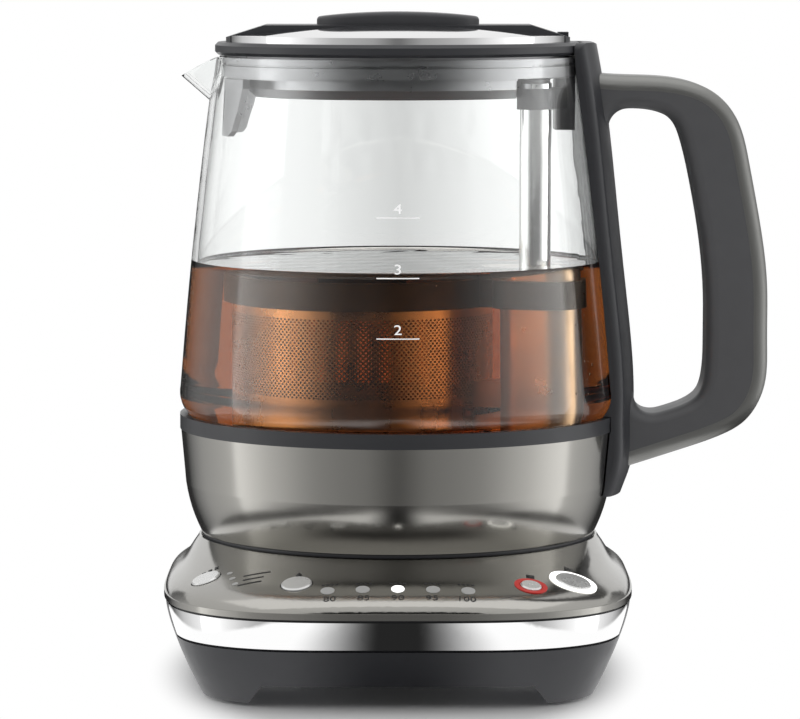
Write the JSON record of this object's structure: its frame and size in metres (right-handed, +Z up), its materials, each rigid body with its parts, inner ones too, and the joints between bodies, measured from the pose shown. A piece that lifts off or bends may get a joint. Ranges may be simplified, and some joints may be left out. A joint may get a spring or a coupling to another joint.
{
  "type": "automatic tea maker",
  "caption": "Glass tea jug with a motor-lifted basket on a magnetic slider, lift-off lid and handle, on a powered base with a sloping push-button panel.",
  "frame": {"origin": "on the standing plane, under the vertical axis of the jug", "axes": "+Z up, -Y towards the control panel (front), +X towards the handle, -X towards the spout"},
  "size_m": [0.1979, 0.1756, 0.217],
  "materials": {
    "olive_metal": "gloss smoked olive-grey lacquer on metal",
    "trim_metal": "satin lighter olive-grey metallic strip",
    "bright_metal": "polished plating",
    "steel": "satin stainless steel",
    "dark_plastic": "smooth dark blue-grey plastic",
    "matte_dark": "fine-grained dark plastic",
    "grey_plastic": "light grey moulding",
    "glass": "clear borosilicate glass",
    "silicone": "grey silicone",
    "rubber": "matt rubber",
    "brass": "plain brass",
    "board": "green circuit board",
    "white_lens": "translucent white lens",
    "red_lens": "translucent red lens",
    "magnet": "nickel-plated magnet"
  },
  "bodies": {
    "base": {"base_top_shell": "olive_metal", "base_lower_body": "dark_plastic", "chrome_fascia": "bright_metal", "rubber_feet": "rubber", "base_screws": "steel", "cord_gland": "matte_dark", "base_connector": "matte_dark", "control_board": "board", "power_board": "board", "cancel_light_ring": "red_lens", "start_light_ring": "white_lens", "temperature_lenses": "white_lens", "strength_lenses": "white_lens"},
    "jug_socket": {"jug_connector": "matte_dark"},
    "jug": {"glass_jug": "glass", "collar_ring": "dark_plastic", "glass_seal": "silicone", "jug_floor": "steel", "heating_element": "steel", "temperature_sensor": "steel", "steel_housing": "olive_metal", "jug_base_cover": "matte_dark", "jug_base_screws": "steel", "spine": "dark_plastic", "handle_grip": "matte_dark", "handle_trim": "trim_metal", "handle_screws": "steel", "post_tube": "steel", "post_cap": "bright_metal", "post_seal": "silicone", "post_nut": "steel", "post_bracket": "grey_plastic", "screw_bush": "brass", "lift_motor": "steel", "motor_bracket": "steel"},
    "lift_screw": {"lead_screw": "steel"},
    "carriage": {"carriage_nut": "brass", "carriage_magnets": "magnet"},
    "basket": {"basket_cup": "steel", "basket_ring": "matte_dark", "basket_stay": "matte_dark", "basket_slider": "matte_dark", "slider_magnet": "magnet"},
    "basket_lid": {"basket_lid": "matte_dark"},
    "lid": {"lid_cap": "matte_dark", "lid_front_plate": "bright_metal", "lid_rear_plate": "bright_metal", "lid_knob": "matte_dark", "lid_skirt": "dark_plastic", "lid_seals": "silicone", "pour_guard": "dark_plastic"},
    "strength_key": {"strength_button": "dark_plastic"},
    "temperature_key": {"temperature_button": "dark_plastic"},
    "cancel_key": {"cancel_button": "dark_plastic"},
    "start_key": {"start_button": "dark_plastic"}
  },
  "joints": [
    {"name": "jug_lift", "type": "slide", "parent": "base", "child": "jug_socket", "axis": [0, 0, 1], "range_m": [0, 0.08]},
    {"name": "jug_swivel", "type": "hinge", "parent": "jug_socket", "child": "jug", "pos_m": [0, 0, 0], "axis": [0, 0, 1], "continuous": true},
    {"name": "lid_lift", "type": "slide", "parent": "jug", "child": "lid", "axis": [0, 0, 1], "range_m": [0, 0.06]},
    {"name": "basket_lift", "type": "slide", "parent": "jug", "child": "basket", "axis": [0, 0, 1], "range_m": [0, 0.045]},
    {"name": "carriage_slide", "type": "slide", "parent": "jug", "child": "carriage", "axis": [0, 0, 1], "range_m": [0, 0.045]},
    {"name": "screw_turn", "type": "hinge", "parent": "jug", "child": "lift_screw", "pos_m": [0.0444, -0.019, 0.1], "axis": [0, 0, 1], "range_deg": [0, 2026]},
    {"name": "basket_lid_lift", "type": "slide", "parent": "basket", "child": "basket_lid", "axis": [0, 0, 1], "range_m": [0, 0.03]},
    {"name": "strength_press", "type": "slide", "parent": "base", "child": "strength_key", "axis": [0.3215, 0.183, -0.9291], "range_m": [0, 0.0012], "stiffness_N_per_m": 400},
    {"name": "temperature_press", "type": "slide", "parent": "base", "child": "temperature_key", "axis": [0.0968, 0.2797, -0.9552], "range_m": [0, 0.0012], "stiffness_N_per_m": 400},
    {"name": "cancel_press", "type": "slide", "parent": "base", "child": "cancel_key", "axis": [-0.153, 0.2723, -0.95], "range_m": [0, 0.0012], "stiffness_N_per_m": 400},
    {"name": "start_press", "type": "slide", "parent": "base", "child": "start_key", "axis": [-0.2547, 0.2179, -0.9421], "range_m": [0, 0.0012], "stiffness_N_per_m": 400}
  ],
  "couplings": [
    {"joint": "carriage_slide", "follows": "basket_lift", "ratio": 1},
    {"joint": "screw_turn", "follows": "basket_lift", "rad_per_m": 785.4}
  ]
}
